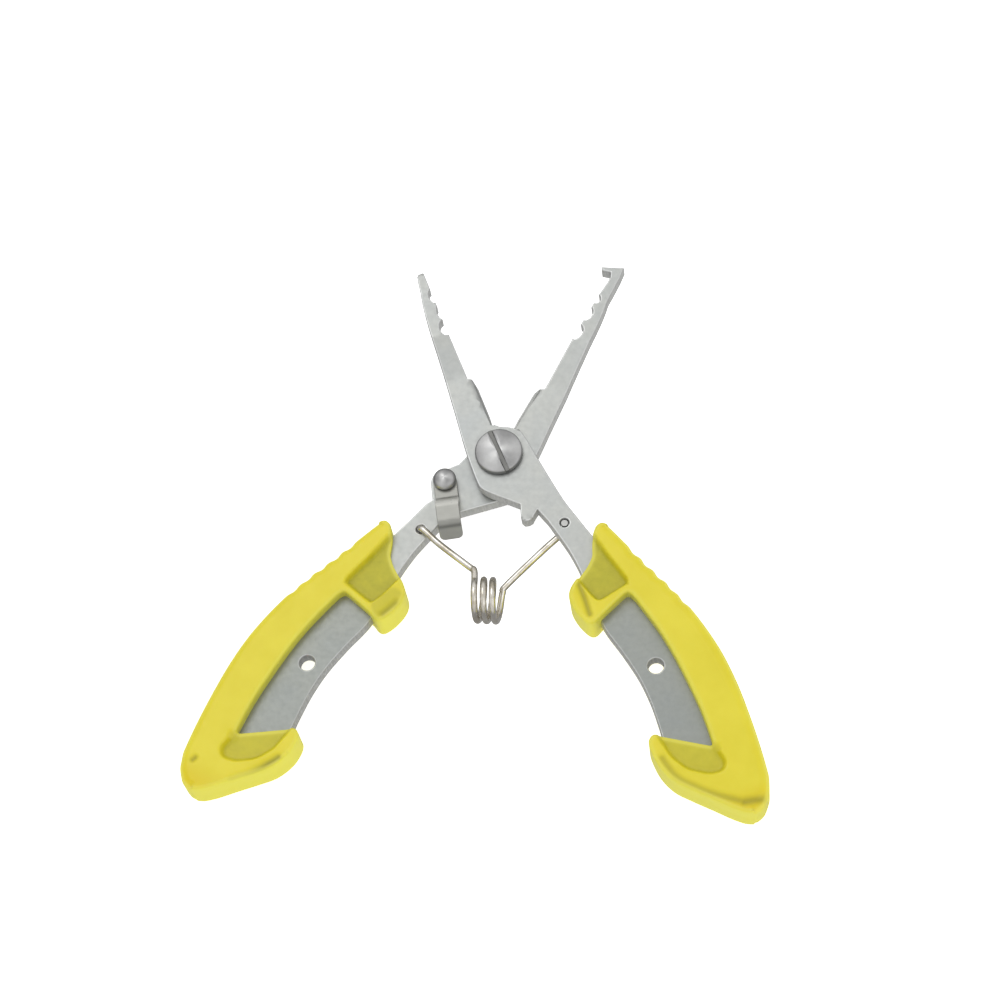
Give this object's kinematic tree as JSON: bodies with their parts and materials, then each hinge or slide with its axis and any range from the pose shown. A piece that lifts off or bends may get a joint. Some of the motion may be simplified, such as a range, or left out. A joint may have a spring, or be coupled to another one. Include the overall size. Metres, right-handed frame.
{
  "type": "fishing pliers",
  "caption": "Slim needle-nose fishing pliers: flat crossed halves on a slotted pivot screw, side cutter, crimping notches, moulded grips, opening spring and locking clasp.",
  "frame": {"origin": "on the pivot axis, on the flat back of the pivot nut", "axes": "+Z along the pivot axis towards the screw's slotted head; +Y from the pivot towards the jaws along the line midway between the halves; +X to the right seen from the screw's head"},
  "size_m": [0.1053, 0.1075, 0.0115],
  "materials": {
    "plate_steel": "satin blasted",
    "grip_plastic": "satin, slightly translucent",
    "turned_steel": "turned",
    "clasp_steel": "satin",
    "spring_wire": "polished, warm"
  },
  "bodies": {
    "rear": {"rear_half": "plate_steel", "rear_grip": "grip_plastic", "pivot_screw": "turned_steel", "pivot_nut": "turned_steel", "latch_rivet": "turned_steel", "return_spring": "spring_wire"},
    "front": {"front_half": "plate_steel", "front_grip": "grip_plastic"},
    "latch": {"lock_latch": "clasp_steel"}
  },
  "joints": [
    {"name": "plier", "type": "hinge", "parent": "rear", "child": "front", "pos_m": [0, 0, 0], "axis": [0, 0, 1], "range_deg": [-49.9, 3], "stiffness_Nm_per_rad": 0.35, "deforming": ["return_spring"]},
    {"name": "clasp", "type": "hinge", "parent": "rear", "child": "latch", "pos_m": [-0.0099, -0.00496, 0.006], "axis": [0, 0, 1], "range_deg": [0, 5]}
  ]
}
